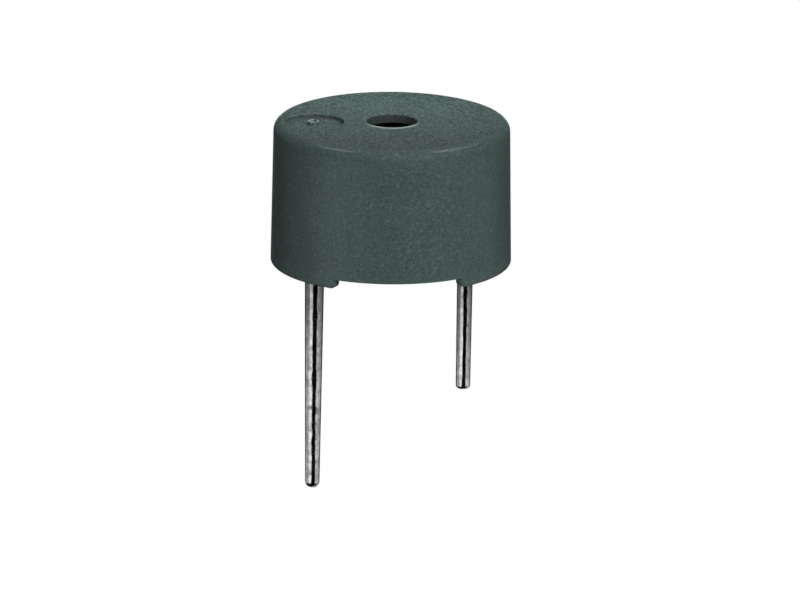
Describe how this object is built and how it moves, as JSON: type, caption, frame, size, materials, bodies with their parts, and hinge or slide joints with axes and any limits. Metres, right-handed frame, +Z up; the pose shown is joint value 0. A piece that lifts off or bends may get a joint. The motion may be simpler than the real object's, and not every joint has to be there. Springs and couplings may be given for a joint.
{
  "type": "piezo buzzer",
  "caption": "Round self-drive piezo buzzer: a dark cup with a sound hole in its top, resin-sealed below, with unequal wire leads for a circuit board.",
  "frame": {"origin": "on the seating plane under the feet, midway between the two leads", "axes": "+Z up along the case's axis through the sound hole; X along the line of the leads, with the longer positive lead at -X; the washing gaps face -Y and +Y"},
  "size_m": [0.012, 0.012, 0.0191],
  "materials": {
    "case_plastic": "dark grey-green moulded plastic with a fine sparked grain",
    "resin": "black potting resin, glossy, creeping a little up what it meets",
    "tinned_wire": "bright tin plating, slightly mottled",
    "board_laminate": "bare tan glass and resin laminate",
    "copper": "thin copper foil under flux",
    "solder": "smooth tin solder",
    "moulded_black": "black moulding compound",
    "plated_tin": "matt tin plating",
    "resistor_black": "ceramic chip under a black glaze",
    "brass_sheet": "rolled brass sheet",
    "piezo_ceramic": "fired pale ceramic",
    "silver_film": "fired silver film",
    "silicone": "translucent white silicone",
    "red_wire": "red insulation",
    "black_wire": "black insulation",
    "blue_wire": "blue insulation"
  },
  "bodies": {
    "root": {"case": "case_plastic", "resin_seal": "resin", "positive_lead": "tinned_wire", "negative_lead": "tinned_wire", "circuit_board": "board_laminate", "copper_tracks": "copper", "lead_solder": "solder", "drive_transistor": "moulded_black", "transistor_legs": "plated_tin", "load_resistor": "resistor_black", "bias_resistor": "resistor_black", "feedback_resistor": "resistor_black", "resistor_end_caps": "plated_tin", "diaphragm_plate": "brass_sheet", "piezo_disc": "piezo_ceramic", "main_electrode": "silver_film", "feedback_electrode": "silver_film", "diaphragm_bond": "silicone", "drive_wire": "red_wire", "ground_wire": "black_wire", "feedback_wire": "blue_wire", "board_wire_solder": "solder", "diaphragm_wire_solder": "solder"}
  },
  "joints": []
}
